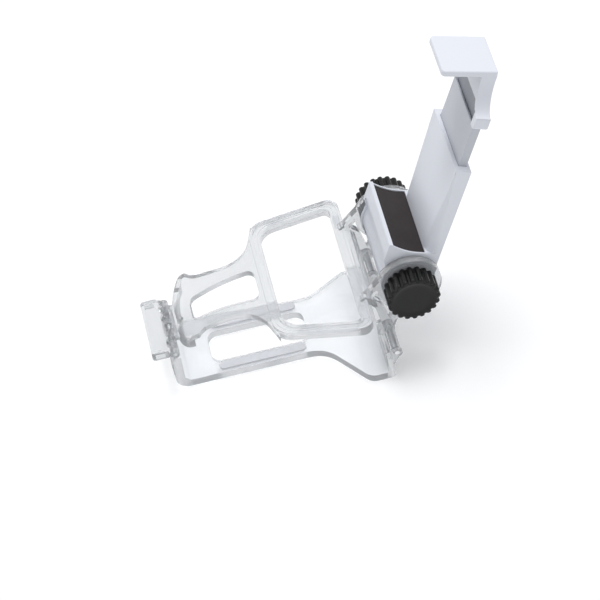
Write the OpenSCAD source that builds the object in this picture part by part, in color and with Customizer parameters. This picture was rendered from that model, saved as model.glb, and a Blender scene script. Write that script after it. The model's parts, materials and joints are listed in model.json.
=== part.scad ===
// Phone clip for a hand-held device: a clear frame and a rear plate that close round the
// device's middle, and a tilting, telescoping clamp that holds a phone above it.
// The origin lies midway between the bridge's two side cut-outs, on the face the frame
// sits on. X runs to the user's right, Y away from the user, Z out of the face. Millimetres.

/* [Window frame] */
// Half width of the window at its near edge
window_near = 26.6; // [24:0.2:28]
// Half width of the window at its far edge
window_far = 31.8; // [30:0.2:33]
// Near edge of the window
window_y0 = 18.2; // [17.5:0.1:19]
// Far edge of the window
window_y1 = 47; // [45:0.1:48]
// Width of the frame round the window
band_w = 4; // [3.2:0.1:4.4]
// Thickness of the frame under its ridges
band_h = 3.2; // [2.4:0.1:4]
// Height of the two ridges on the frame
ridge_h = 0.7; // [0.3:0.1:1.2]
// Width of each ridge
ridge_w = 1.2; // [0.8:0.1:1.5]
// Corner radius of the window at its near corners
window_r_near = 8; // [5:0.5:9]
// Corner radius of the window at its far corners
window_r_far = 2.5; // [1.5:0.5:5]
// Slope of the frame in degrees, down towards its far edge
frame_slope = 3; // [0:0.5:4]
// Length of a soft pad under the frame
frame_pad_l = 7; // [4:0.5:10]

/* [Bridge] */
// Distance of a side cut-out's centre from the middle
cut_x = 26.6; // [25:0.1:28]
// Radius of a side cut-out
cut_r = 13.4; // [12:0.1:13.6]
// Distance of the cut-outs' centres beyond the origin
cut_y = 0.5; // [0:0.1:1]
// Thickness of the bridge
bridge_t = 2.4; // [1.8:0.1:2.6]
// Half width of the near lip
lip_half = 17.2; // [16:0.2:19]
// Radius of the lip's bend
lip_r = 4.4; // [3.5:0.1:5]
// Distance of the lip's outer face in front of the origin
lip_y = 21; // [20.6:0.1:21.2]
// Depth of the lip's lower edge below the face
lip_z = 12.6; // [11.8:0.1:13]
// Half width of the bridge's window at its far end
eye_far = 8; // [6:0.2:9]
// Half width of the bridge's window at its near end
eye_near = 5.6; // [4:0.2:6]

/* [Side brackets] */
// Gap between the clamp and a bracket
ear_gap = 0.5; // [0.4:0.05:0.8]
// Thickness of a bracket
ear_t = 3; // [2.4:0.1:3.2]
// Radius of the round ear
ear_r = 12.4; // [11.5:0.1:13]
// Distance of the tilt axis beyond the origin
pivot_y = 67.8; // [67:0.1:69]
// Height of the tilt axis above the face
pivot_z = 2.3; // [1.5:0.1:3]
// Width of the bar and the strut that carry the ear
bar_w = 2.8; // [2.2:0.1:3.4]

/* [Hinges of the rear plate] */
// Distance of the hinge axis beyond the origin
hinge_y = 57.9; // [57.6:0.1:58.4]
// Depth of the hinge axis below the face
hinge_z = 18.2; // [17.4:0.1:19]
// Radius of a hinge pin
hinge_pin_r = 1; // [0.8:0.05:1.1]
// Outer radius of a hinge tube
hinge_r = 1.7; // [1.6:0.05:2]
// Length of the tube beside each bracket
hinge_l = 11.4; // [9:0.2:12]
// Thickness of the hinge leg
leg_t = 2.4; // [2:0.1:2.8]

/* [Rear plate] */
// Half width of the rear plate's stem
stem_half = 14.5; // [14.4:0.1:15.5]
// Depth of the rear plate's inner floor below the face
floor_z = 27.6; // [27:0.1:30]
// Thickness of the rear plate
plate_t = 3.2; // [2.6:0.1:3.6]
// Half width of the rear plate's window
hole_half = 8; // [6:0.2:9]
// Near end of the rear plate's window
hole_y0 = -10; // [-12:0.5:-8]
// Far end of the rear plate's window
hole_y1 = 28; // [24:0.5:30]
// Distance of the near wall's inner face in front of the origin
wall_y = 21.8; // [21.6:0.1:22.2]
// Thickness of the near wall
wall_t = 3.4; // [3:0.1:3.6]

/* [Latch tab] */
// Half width of the tab
tab_half = 14.3; // [13:0.1:14.3]
// Reach of the tab in front of the near wall
tab_reach = 7.1; // [6:0.1:8]
// Height of the tab's rim
tab_h = 3.7; // [3:0.1:4]
// Radius of the latch pin
latch_pin_r = 0.8; // [0.6:0.05:0.9]
// Radius of a knuckle
knuckle_r = 1.7; // [1.6:0.05:1.8]

/* [Clamp] */
// Lean of the arm in degrees, back from square to the face
lean = 22.3; // [0:0.1:40]
// Width of the lower jaw and the arm
clamp_w = 35.8; // [34:0.1:36]
// Distance from the tilt axis to the arm's front face
arm_front = 3.3; // [3.2:0.1:3.6]
// Thickness of the arm
arm_t = 6; // [5.8:0.1:6.4]
// Height of the arm's open end above the tilt axis
arm_top = 53.9; // [50:0.1:54]
// Radius of the lower jaw's round bottom
boss_r = 10.4; // [9.5:0.1:10.6]
// Reach of the lower jaw's lip in front of the tilt axis
lip_front = 11.8; // [11.5:0.1:12.5]
// Height of the lower jaw's lip above the tilt axis
lip_top = 16.4; // [16:0.1:18]
// Thickness of the lower jaw's lip
lip_t = 1.4; // [1.2:0.1:2]
// Height of the lower jaw's side rims above the tilt axis
bed_top = 13.3; // [13.2:0.1:14]
// Thickness of the side rims round the lower jaw's rubber
bed_rim_t = 0.6; // [0.4:0.1:1]
// Height of these rims above the rubber
bed_rim_h = 0.4; // [0.2:0.1:0.6]
// Thickness of the rubber in both jaws
pad_t = 1; // [0.8:0.1:1.6]
// Radius of the arm's front edges at their lower end
edge_r = 4.6; // [2:0.2:5]

/* [Telescoping arm] */
// Thickness of the arm's walls beside the tongue
side_wall = 3.4; // [3.2:0.1:4.4]
// Thickness of the tongue
tongue_t = 3.2; // [3.1:0.1:3.3]
// Length of tongue that shows above the arm
tongue_out = 18.6; // [16:0.1:20]
// Length of the tongue
tongue_l = 50; // [40:1:51]
// Thickness of the dark slide
slide_t = 1.4; // [1.2:0.1:1.5]
// Length of slide below the upper jaw
slide_l = 30; // [25:1:36]

/* [Upper jaw] */
// Length of slide that shows between the tongue and the jaw
slide_out = 1.5; // [1:0.1:6]
// Height of the jaw at its back
jaw_h = 21.2; // [18:0.1:23]
// Height of the jaw's straight collar
collar_h = 5; // [4:0.1:6]
// Half width of the jaw's plate
jaw_half = 10.4; // [9:0.1:13]
// Depth of the hollow in the jaw's inner face
jaw_sunk = 2; // [0.5:0.1:2.4]
// Thickness of the walls beside that hollow
jaw_rim = 1; // [0.8:0.1:2]
// Reach of the jaw's plate in front of the tilt axis
jaw_reach = 12.1; // [11:0.1:13]
// Thickness of the jaw's plate
jaw_t = 2.6; // [2.2:0.1:3]
// Droop of the plate's tip in degrees
jaw_droop = 4.5; // [2:0.5:6]

/* [Knobs] */
// Radius of a knob over its ridges
knob_r = 10.2; // [9:0.1:11]
// Thickness of a knob
knob_t = 8; // [7:0.1:9]
// Number of ridges round a knob
knob_ridges = 20; // [12:1:24]
// Radius of the stud in a knob
stud_r = 2.5; // [2:0.1:2.6]
// Outer radius of the brass insert
insert_r = 3.3; // [3.2:0.1:3.6]
// Length of the brass insert
insert_l = 7.6; // [5:0.1:8]
// Thickness of the washer under a knob
washer_t = 0.6; // [0.4:0.1:1]

/* [Fits] */
// Running clearance round pins and studs
run_gap = 0.06; // [0.02:0.01:0.09]
// Clearance between parts that slide on each other
slide_gap = 0.14; // [0.1:0.01:0.2]
// Clearance between parts that swing past each other
side_gap = 0.3; // [0.2:0.05:0.4]
// Clearance round pieces that are pressed, glued or screwed in
seat_gap = 0.02; // [0.01:0.01:0.04]

/* [Hidden] */
$fn = 48;

clear = [0.86, 0.88, 0.9, 0.45];
soft = [0.9, 0.9, 0.92, 0.6];
grey = [0.8, 0.82, 0.86];
dark = [0.24, 0.23, 0.23];
steel = [0.75, 0.76, 0.78];
brass = [0.8, 0.66, 0.35];

// Cuts run this far past the faces they open
past = 1;
frame_top = 1.5;
pad_h = 0.8;

half_w = clamp_w / 2;
ear_x = half_w + ear_gap;
ear_out = ear_x + ear_t;
hinge_bore = hinge_pin_r + run_gap;
cheek_t = 1.5;
cheek_r = hinge_r + 0.3;
leg_y = hinge_y - hinge_r - side_gap - leg_t / 2;
tube_right = ear_out + hinge_l;
tube_left = hinge_l - ear_x - 2.5;
right_x0 = ear_x - side_gap - cheek_t;
right_x1 = tube_right + side_gap + cheek_t;
left_x0 = -ear_out - side_gap - cheek_t;
left_x1 = tube_left + side_gap + cheek_t;
plate_z = -floor_z - plate_t;

wall_out = wall_y + wall_t;
latch_y = -wall_y - wall_t / 2;
latch_z = -lip_z;
knuckles = 9;
knuckle_w = 2 * tab_half / knuckles;
knuckle_gap = 0.1;
wall_top = latch_z - knuckle_r - 0.2;
tab_y0 = -wall_out - tab_reach;
tab_y1 = -wall_out - 0.6;
tab_top = latch_z + 3.1;
rim_t = 1.4;
ledge_z = latch_z + 3.2;
ledge_out = 1.1;

arm_back = arm_front + arm_t;
tongue_half = half_w - side_wall;
tongue_top = arm_top + tongue_out;
jaw_bottom = tongue_top + slide_out;
jaw_top = jaw_bottom + jaw_h;
pocket_d0 = arm_front + 1.6;
pocket_half = tongue_half + slide_gap;
pocket_z0 = -4;
tongue_d0 = pocket_d0 + slide_gap;
tongue_d1 = tongue_d0 + tongue_t;
pocket_d1 = tongue_d1 + slide_gap;
tongue_wall = 0.9;
tongue_side = 1.4;
slide_half = tongue_half - tongue_side - slide_gap;
slide_d0 = tongue_d0 + tongue_wall + slide_gap;
slide_d1 = slide_d0 + slide_t;
slide_z1 = jaw_bottom + collar_h + 1.8;
tang_half = jaw_half - 1.9;
tang_z1 = jaw_bottom + 13;
cover_half = half_w - 0.85;
cover_z0 = 2;
cover_z1 = arm_top - 4;
screw_r = 0.7;
head_r = 1.1;
head_t = 0.5;
cover_screw_x = pocket_half + 1.05;
cover_screw_z = [cover_z0 + 4, cover_z1 - 4];
leaf_z = [20, 38];
leaf_room = 1.2;
jaw_screw_x = tang_half - 3;
jaw_screw_z = jaw_bottom + 2 * collar_h;
pad_front = lip_t - lip_front;
pad_top = bed_top - bed_rim_h;
panel_top = 10.6;
// The rubber tucks this far in behind the arm's front face
tuck = 0.3;

ring_r0 = 6;
ring_r1 = 9;
ring_in = 0.9;
insert_x1 = half_w - 0.3;
stud_x0 = insert_x1 - insert_l + 1;
washer_r = 5.6;
washer_x1 = ear_out + run_gap + washer_t;
knob_x0 = ear_out + side_gap / 2;
knob_x1 = knob_x0 + knob_t;
stud_head_x = washer_x1 + 2;
stud_head_t = 2.6;
stud_head_r = stud_r + 1.8;
rib_h = 0.9;
rib_w = 1.6;
rib_end = 0.3;

// A corner of an outline, replaced by an arc of radius r that touches both edges
function unit(v) = v / norm(v);
function corner(p, a, b, r, n) =
    let (u = unit(a - p), v = unit(b - p), half = acos(u * v) / 2, m = unit(u + v))
    let (c = p + m * r / sin(half), e = p + u * r / tan(half), f = p + v * r / tan(half))
    let (t0 = atan2(e[1] - c[1], e[0] - c[0]), t1 = atan2(f[1] - c[1], f[0] - c[0]))
    let (turn = (t1 - t0 + 540) % 360 - 180)
    [for (k = [0:n]) c + r * [cos(t0 + turn * k / n), sin(t0 + turn * k / n)]];
function rounded(pts, radii, n = 8) =
    let (m = len(pts))
    [for (i = [0:m - 1])
        each radii[i] > 0 ? corner(pts[i], pts[(i + m - 1) % m], pts[(i + 1) % m], radii[i], n)
                          : [pts[i]]];
function box(x0, x1, y0, y1) = [[x0, y0], [x1, y0], [x1, y1], [x0, y1]];

// Points along a circle
function arc(c, r, a0, a1, n = 16) =
    [for (k = [0:n]) let (a = a0 + (a1 - a0) * k / n) c + r * [cos(a), sin(a)]];

// Straight bar of width w between two points
function bar(p, q, w) =
    let (u = unit(q - p), s = [-u[1], u[0]] * w / 2)
    [p + s, p - s, q - s, q + s];

// Stands a profile drawn in Y and Z up across X, from x0 to x1
module across(x0, x1) {
    translate([x0, 0, 0])
        rotate([90, 0, 90])
            linear_extrude(x1 - x0)
                children();
}

// Solid round bar along X, and the same on the side given by s
module rod(x0, x1, r) {
    translate([x0, 0, 0])
        rotate([0, 90, 0])
            cylinder(h = x1 - x0, r = r);
}

module side_rod(s, x0, x1, r) {
    rod(min(s * x0, s * x1), max(s * x0, s * x1), r);
}

module tube(x0, x1, r0, r1) {
    difference() {
        rod(x0, x1, r1);
        rod(x0 - past, x1 + past, r0);
    }
}

// Carries a piece drawn about the tilt axis to its place, with the arm along Z
module at_pivot() {
    translate([0, pivot_y, pivot_z])
        rotate([-lean, 0, 0])
            children();
}

module at_hinge() {
    translate([0, hinge_y, -hinge_z])
        children();
}

module at_latch() {
    translate([0, latch_y, latch_z])
        children();
}

// Lays a piece on the slope of the frame, which starts at the frame's near edge
module on_frame() {
    translate([0, window_y0 - band_w, 0])
        rotate([-frame_slope, 0, 0])
            translate([0, band_w - window_y0, 0])
                children();
}

// Half width of the window at distance y, and its outline grown outwards by g
function window_half_at(y) =
    window_near + (window_far - window_near) * (y - window_y0) / (window_y1 - window_y0);
function frame_line(g) =
    let (n = window_half_at(window_y0 - g) + g, f = window_half_at(window_y1 + g) + g)
    rounded([[-n, window_y0 - g], [n, window_y0 - g], [f, window_y1 + g], [-f, window_y1 + g]],
            [window_r_near, window_r_near, window_r_far + g / 2,
             window_r_far + g / 2]);

module frame_ring(g0, g1, z0, z1) {
    translate([0, 0, z0])
        linear_extrude(z1 - z0)
            difference() {
                polygon(frame_line(g1));
                polygon(frame_line(g0));
            }
}

module window_frame() {
    on_frame() {
        frame_ring(0, band_w, frame_top - band_h, frame_top);
        frame_ring(0, ridge_w, frame_top - 0.1, frame_top + ridge_h);
        frame_ring(band_w - ridge_w, band_w, frame_top - 0.1, frame_top + ridge_h);
    }
}

// Half width of the bridge: flared to the frame, drawn in by the cut-outs, flared to the lip
flare_y = cut_y + 0.948 * cut_r;
function beside_cut(y) =
    cut_x - sqrt(cut_r * cut_r - (y - cut_y) * (y - cut_y));
function bridge_half(y) =
    y > flare_y ? beside_cut(flare_y) + 3 * (y - flare_y)
    : y > cut_y ? beside_cut(y)
    : min(cut_x - cut_r + 0.0055 * (y - cut_y) * (y - cut_y)
          + 0.11 * pow(max(-8.5 - y, 0), 2), lip_half);
// Height of the bridge's top: a saddle, lowest along its middle and towards the lip
function saddle(y, u) =
    let (d = max(12 - y, 0), mid = 0.5 - 0.0093 * d * d, side = 0.5 - 0.0036 * d * d)
    mid + (side - mid) * u * u;

// Rows across the bridge: where it leaves the saddle, how far it has turned down since,
// and how much of the lip's rounded plan it has. The last row is the wall's lower edge.
columns = 16;
bend_y = lip_r - lip_y;
bridge_rows = concat(
    [for (k = [0:2]) [window_y0 - 2.2 - (window_y0 - 2.2 - flare_y) * k / 3, 0, 0]],
    [for (k = [0:8]) [cut_y + cut_r * sin(71.44 * (1 - k / 8)), 0, 0]],
    [for (k = [1:9]) [cut_y + (bend_y - cut_y) * k / 9, 0, k * k / 81]],
    [for (a = [15:15:90]) [bend_y, a, 1]],
    [[bend_y, 100, 1]]);
function bridge_point(row, i, t) =
    let (u = 2 * i / columns - 1, a = min(row[1], 90), round = 3.5 * row[2])
    let (y = row[0] + round * pow(abs(u), 3.5), h = bridge_half(row[0] + round))
    let (z = saddle(y, u) - 1.25 * lip_r * (1 - cos(a)), wall = row[1] > 90 ? 100 : 0)
    [u * (h - 2 * (1 - cos(a))), y - lip_r * sin(a) + t * sin(a),
     max(z - wall, latch_z + 2.4 * pow(abs(u), 4)) - t * cos(a)];

module bridge_sheet() {
    n = columns + 1;
    rows = len(bridge_rows);
    top = [for (row = bridge_rows) for (i = [0:columns]) bridge_point(row, i, 0)];
    low = [for (row = bridge_rows) for (i = [0:columns]) bridge_point(row, i, bridge_t)];
    s = rows * n;
    cells = [for (j = [0:rows - 2]) for (i = [0:columns - 1]) j * n + i];
    faces = concat(
        [for (k = cells) each [[k, k + 1, k + n + 1], [k, k + n + 1, k + n]]],
        [for (k = cells) each [[s + k, s + k + n + 1, s + k + 1],
                               [s + k, s + k + n, s + k + n + 1]]],
        [for (a = [0:columns - 1]) let (b = (rows - 1) * n + a)
            each [[a, s + a, a + 1], [a + 1, s + a, s + a + 1],
                  [b, b + 1, s + b], [b + 1, s + b + 1, s + b]]],
        [for (j = [0:rows - 2]) let (a = j * n, b = a + columns)
            each [[a, a + n, s + a], [a + n, s + a + n, s + a],
                  [b, s + b, b + n], [b + n, s + b, s + b + n]]]);
    polyhedron(concat(top, low), faces);
}

module bridge() {
    difference() {
        bridge_sheet();
        translate([0, 0, -20])
            linear_extrude(30)
                polygon(rounded([[-eye_near, -13.4], [eye_near, -13.4], [eye_far, 12.6],
                                 [-eye_far, 12.6]], [2, 2, 3, 3], 6));
        translate([2.4, 2 - lip_y, -20])
            rotate([0, 0, -35])
                linear_extrude(24)
                    polygon(rounded(box(-2.2, 2.2, -0.8, 0.8), [0.7, 0.7, 0.7, 0.7], 4));
    }
}

// Ledge across the lip's outer face, for the latch's hooks
module latch_ledge() {
    across(-2.8 * knuckle_w, 2.8 * knuckle_w)
        polygon([[1.6 - lip_y, ledge_z + 0.4], [-lip_y - ledge_out, ledge_z],
                 [-lip_y - ledge_out, ledge_z - 0.7], [1.6 - lip_y, ledge_z - 1.6]]);
}

function rim_at(a, r) = [pivot_y + r * cos(a), pivot_z + r * sin(a)];
hinge_at = [hinge_y, -hinge_z];
far_edge = window_y1 + band_w;

// Bracket drawn in Y and Z: an arm from the frame's far edge down to the hinge,
// and a bar and a strut that carry the ear
module bracket_profile() {
    difference() {
        union() {
            polygon(rounded([[far_edge - 2.4, 0.2], [far_edge - 0.6, 1.6], [56.2, -3.4],
                             [hinge_y + hinge_r + 0.3, -hinge_z], [hinge_y - hinge_r - 0.3, -hinge_z],
                             [53.4, -3.6], [far_edge - 2.4, -1.6]],
                            [0.6, 1, 6, 0, 0, 5, 0.3]));
            translate(hinge_at)
                circle(r = hinge_r + 0.3);
            polygon(bar([far_edge - 2.4, -2.4], rim_at(159, ear_r - 1.2), bar_w));
            translate([pivot_y, pivot_z])
                circle(r = ear_r);
            polygon(bar(rim_at(244, ear_r - 1), [60.6, -12.4], bar_w));
            polygon(bar([60.9, -11.4], hinge_at + [0.4, 0.6], bar_w));
        }
        translate(hinge_at)
            circle(r = hinge_bore);
        translate([pivot_y, pivot_z])
            circle(r = stud_r + run_gap);
    }
}

// Sheet that rolls down from the frame's far edge between the brackets
module roll_over() {
    across(-ear_x - 0.5, ear_x + 0.5)
        polygon(rounded([[far_edge - 2.4, -0.4], [far_edge, -0.4], [54.4, -2.4], [54.9, -6.6],
                         [52.9, -6.6], [52.6, -3.6], [far_edge - 2.4, -2.4]],
                        [0, 1.5, 2.5, 0, 0, 1.5, 0], 5));
}

module front_frame() {
    color(clear) {
        window_frame();
        bridge();
        latch_ledge();
        roll_over();
        across(ear_x, ear_out)
            bracket_profile();
        across(-ear_out, -ear_x)
            bracket_profile();
        at_hinge()
            tube(ear_out - 0.2, tube_right, hinge_bore, hinge_r);
        at_hinge()
            tube(-ear_x - 0.2, tube_left, hinge_bore, hinge_r);
    }
}

// Soft pads under the frame
module frame_pads() {
    z = frame_top - band_h - pad_h;
    y = window_y0 + 0.27 * (window_y1 - window_y0);
    w = 0.3 * band_w;
    l = frame_pad_l / 2;
    color(soft)
        on_frame()
            for (side = [-1, 1]) {
                translate([side * (window_half_at(y) + band_w / 2), y, z])
                    rotate([0, 0, -side * 10])
                        linear_extrude(pad_h)
                            polygon(rounded(box(-w, w, -l, l), [0.9, 0.9, 0.9, 0.9]));
                translate([side * 0.79 * window_far, window_y1 + band_w / 2, z])
                    linear_extrude(pad_h)
                        polygon(rounded(box(-l, l, -w, w), [0.9, 0.9, 0.9, 0.9]));
            }
}

wall_r = 5;
floor_y0 = wall_r - wall_out - 0.2;

// Plan of the rear plate: a narrow stem and a wide tail at the hinges
module rear_floor() {
    side_y = leg_y - 8;
    neck_y = side_y - 14;
    translate([0, 0, plate_z])
        linear_extrude(plate_t)
            difference() {
                polygon(rounded([[-stem_half, floor_y0], [stem_half, floor_y0],
                                 [stem_half, neck_y], [right_x1, side_y], [right_x1, leg_y],
                                 [left_x0, leg_y], [left_x0, side_y], [-stem_half, neck_y]],
                                [0, 0, 12, 5, 0, 0, 4, 8]));
                polygon(rounded(box(-hole_half, hole_half, hole_y0, hole_y1), [4, 4, 4, 4]));
            }
}

// Near wall that rises outside the lip, with the corner under it rounded
module near_wall() {
    across(-stem_half, stem_half)
        polygon(concat([[2 - wall_y, plate_z], [2 - wall_y, -floor_z], [-wall_y, 2 - floor_z],
                        [-wall_y, wall_top], [latch_y - 0.5, wall_top],
                        [-wall_out - 0.6, wall_top - 3.8]],
                       arc([floor_y0, plate_z + wall_r], wall_r, 180, 270)));
}

module knuckle(k, r) {
    translate([k * knuckle_w - tab_half, 0, 0])
        rod(knuckle_gap, knuckle_w - knuckle_gap, r);
}

module knuckle_web(k) {
    across(k * knuckle_w - tab_half + knuckle_gap, (k + 1) * knuckle_w - tab_half - knuckle_gap)
        children();
}

// Leg of a hinge: a wall that rises from the floor to height z1
module leg(x0, x1, z1) {
    across(x0, x1)
        polygon([[leg_y - leg_t / 2, plate_z], [leg_y, plate_z],
                 [leg_y + leg_t / 2, plate_z + 1.2], [leg_y + leg_t / 2, z1],
                 [leg_y - leg_t / 2, z1]]);
}

// Cheek of a hinge: an eye on the pin and a web down to the leg
module cheek(x0) {
    across(x0, x0 + cheek_t) {
        translate(hinge_at)
            circle(r = cheek_r);
        translate([leg_y, -hinge_z])
            circle(r = leg_t / 2);
        polygon([[hinge_y, cheek_r - hinge_z], [leg_y, leg_t / 2 - hinge_z],
                 [leg_y - leg_t / 2, -hinge_z], [leg_y - leg_t / 2, -hinge_z - 6],
                 [leg_y + leg_t / 2, -hinge_z - 6], [hinge_y + 0.6, -hinge_z - cheek_r + 0.1]]);
    }
}

module rear_plate() {
    low = -hinge_z - hinge_r - 2.6;
    color(clear)
        difference() {
            union() {
                rear_floor();
                near_wall();
                for (k = [1:2:knuckles - 1]) {
                    at_latch()
                        knuckle(k, knuckle_r);
                    knuckle_web(k)
                        polygon([[-wall_out + 0.3, wall_top - 0.5], [-wall_y, wall_top - 0.5],
                                 [-wall_y, latch_z], [-wall_out + 0.3, latch_z - 0.6]]);
                }
                leg(right_x0, right_x1, low);
                leg(left_x0, left_x1, low);
                leg(ear_out + side_gap, right_x1, -hinge_z);
                leg(side_gap - ear_x, left_x1, -hinge_z);
                translate([0, leg_y, -hinge_z]) {
                    rod(ear_out + side_gap, right_x1, leg_t / 2);
                    rod(side_gap - ear_x, left_x1, leg_t / 2);
                }
                for (x = [right_x0, right_x1 - cheek_t, left_x0, left_x1 - cheek_t])
                    cheek(x);
            }
            at_latch()
                rod(-stem_half - past, stem_half + past, latch_pin_r + run_gap);
            at_hinge() {
                rod(left_x0 - past, left_x1 + past, hinge_pin_r + seat_gap);
                rod(right_x0 - past, right_x1 + past, hinge_pin_r + seat_gap);
            }
        }
}

// Two soft strips on the rear plate's floor, one each side of its window
module rear_pads() {
    w = (stem_half - hole_half) / 2 - 1.25;
    l = (hole_y1 - hole_y0) / 2 - 2;
    color(soft)
        for (side = [-1, 1])
            translate([side * (stem_half + hole_half) / 2, (hole_y0 + hole_y1) / 2, -floor_z])
                linear_extrude(pad_h)
                    polygon(rounded(box(-w, w, -l, l), [1.5, 1.5, 1.5, 1.5]));
}

module hinge_pin(x0, x1) {
    color(steel)
        at_hinge()
            rod(x0 + 0.1, x1 - 0.1, hinge_pin_r);
}

// Ribbed tab of the latch, with a rim round it
module tab_plate() {
    inner = tab_half - rim_t;
    difference() {
        translate([0, 0, tab_top - tab_h])
            linear_extrude(tab_h)
                polygon(rounded(box(-tab_half, tab_half, tab_y0, tab_y1), [1.5, 1.5, 0.5, 0.5]));
        translate([-inner, tab_y0 + rim_t, tab_top - tab_h - past])
            cube([2 * inner, tab_y1 - tab_y0 - 2 * rim_t, tab_h - 1.6 + past]);
        translate([-inner, tab_y0 + rim_t, tab_top - 0.6])
            cube([2 * inner, tab_y1 - tab_y0 - 2 * rim_t, 0.6 + past]);
    }
    for (f = [0.35, 0.68])
        translate([-inner - 0.1, tab_y0 + f * (tab_y1 - tab_y0) - 0.4, tab_top - 1])
            cube([2 * inner + 0.2, 0.8, 0.9]);
}

// Lever that lets the rear plate go: the tab, its knuckles and two hooks
module latch_tab() {
    hook_in = -lip_y - side_gap;
    hook_out = -lip_y - ledge_out - 0.15;
    nose_z = ledge_z + 0.2;
    color(clear)
        difference() {
            union() {
                tab_plate();
                for (k = [0, 2, 6, 8]) {
                    at_latch()
                        knuckle(k, knuckle_r);
                    knuckle_web(k)
                        polygon([[tab_y1 - 0.5, tab_top - 0.4], [latch_y - 0.4, latch_z + knuckle_r - 0.1],
                                 [latch_y, latch_z], [latch_y - knuckle_r, latch_z],
                                 [tab_y1 - 0.5, tab_top - tab_h + 0.2]]);
                }
                for (k = [2, 6])
                    knuckle_web(k)
                        polygon([[latch_y - 1.2, latch_z + 0.8], [latch_y + 0.9, latch_z + 0.8],
                                 [hook_out, ledge_z - 1.2], [hook_out, nose_z + 0.15],
                                 [hook_in, nose_z + 0.4], [hook_in, nose_z + 1.1],
                                 [hook_out - 0.2, nose_z + 1.9], [hook_out - 1.5, nose_z + 0.8]]);
            }
            at_latch()
                rod(-tab_half - past, tab_half + past, latch_pin_r + run_gap);
        }
}

module latch_pin() {
    color(steel)
        at_latch()
            rod(0.2 - tab_half, tab_half - 0.2, latch_pin_r);
}

// Closed coils of the latch's spring, between the two middle knuckles
module latch_spring() {
    k = 4;
    color(steel)
        at_latch()
            translate([k * knuckle_w - tab_half, 0, 0])
                tube(0.3, knuckle_w - 0.3, latch_pin_r + run_gap, latch_pin_r + 0.6);
}

// Curve of the lower jaw's bed, flat next to the arm and rising to the lip, or of a face
// of its rubber: drop is how far it lies below the rims, gap how far it stays off the lip
function trough(drop, gap) =
    let (rise = lip_top - 0.4 - bed_top, depth = 0.75 * (arm_front - pad_front))
    [for (k = [0:9]) [pad_front + gap + depth * (1 - k / 9),
                      bed_top - drop + rise * pow(k / 9, 1.8)]];

// Side profile of the lower jaw and the arm, drawn about the tilt axis
module clamp_profile() {
    polygon(concat([[arm_back, arm_top], [arm_front, arm_top], [arm_front, bed_top]],
                   trough(0, 0),
                   [[pad_front, lip_top], [0.3 - lip_front, lip_top],
                    [-lip_front, lip_top - 0.3],
                    [-lip_front, 8.4], [0.3 - boss_r, 5]],
                   arc([0, 0], boss_r, 178, 334, 30), [[arm_back, -3]]));
}

// What is cut from an upright front edge: its radius grows from nothing at the arm's
// open end to edge_r at the lower jaw, whose rims stay whole
module edge_cut() {
    run = arm_top - bed_top;
    s = edge_r / norm([edge_r, edge_r, run]);
    translate([half_w, arm_front, arm_top])
        difference() {
            rotate([0, atan(edge_r / (sqrt(2) * run)), -45])
                translate([0, -10, -2 * run])
                    cube([10, 20, 3 * run]);
            rotate([0, atan2(-sqrt(2) * edge_r, -run), -45])
                cylinder(h = 1.2 * run, r1 = 0, r2 = 1.2 * run * tan(asin(s)));
            translate([-20, -20, -2 * run])
                cube([40, 40, run]);
            translate([-20, -40 - past, -2 * run])
                cube([40, 40, 3 * run]);
        }
}

// Pocket for the rubber between the rims, tucked in behind the arm's front face
module rubber_pocket() {
    across(bed_rim_t - half_w, half_w - bed_rim_t)
        polygon(concat([[arm_front, lip_top + past], [arm_front, pad_top],
                        [arm_front + tuck, pad_top], [arm_front + tuck, pad_top - pad_t]],
                       trough(bed_rim_h + pad_t, 0), [[pad_front, lip_top + past]]));
}

// Shallow panel sunk in the lower jaw's front, below its lip
module front_panel() {
    sink = 0.8;
    difference() {
        rotate([90, 0, 0])
            linear_extrude(lip_front + past)
                polygon(rounded(box(1 - half_w, half_w - 1, -7.5, panel_top), [2, 2, 3, 3]));
        across(-half_w, half_w)
            polygon(concat([[0, lip_top], [sink - lip_front, lip_top], [sink - lip_front, 8.4],
                            [0.3 + sink - boss_r, 5]],
                           arc([0, 0], boss_r - sink, 178, 270, 20), [[0, sink - boss_r]]));
    }
}

module clamp_body() {
    color(grey)
        at_pivot()
            difference() {
                across(-half_w, half_w)
                    clamp_profile();
                translate([-pocket_half, pocket_d0, pocket_z0])
                    cube([2 * pocket_half, pocket_d1 - pocket_d0, arm_top - pocket_z0 + past]);
                translate([-cover_half - seat_gap, pocket_d1, cover_z0 - seat_gap])
                    cube([2 * (cover_half + seat_gap), arm_t, cover_z1 - cover_z0 + 2 * seat_gap]);
                translate([-pocket_half - leaf_room, tongue_d0, leaf_z[0]])
                    cube([2 * leaf_room, tongue_t, leaf_z[1] - leaf_z[0]]);
                rubber_pocket();
                front_panel();
                for (s = [-1, 1]) {
                    side_rod(s, insert_x1 - insert_l, half_w + past, insert_r + seat_gap);
                    difference() {
                        side_rod(s, half_w - ring_in, half_w + past, ring_r1 + seat_gap);
                        side_rod(s, half_w - ring_in - past, half_w + 2 * past,
                                 ring_r0 - seat_gap);
                    }
                    for (z = cover_screw_z)
                        translate([s * cover_screw_x, arm_back - 3.6, z])
                            rotate([-90, 0, 0])
                                cylinder(h = 4, r = screw_r + seat_gap);
                }
                edge_cut();
                mirror([1, 0, 0])
                    edge_cut();
            }
}

// Rubber in the lower jaw: a trough for the phone's long edge, flat next to the arm
module lower_pad() {
    under = trough(bed_rim_h + pad_t - seat_gap, seat_gap);
    back = arm_front + tuck - seat_gap;
    color(dark)
        at_pivot()
            across(bed_rim_t + seat_gap - half_w, half_w - bed_rim_t - seat_gap)
                polygon(concat([[back, pad_top - pad_t + seat_gap], [back, pad_top - seat_gap]],
                               trough(bed_rim_h + seat_gap, seat_gap),
                               [for (k = [9:-1:0]) under[k]]));
}

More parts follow.
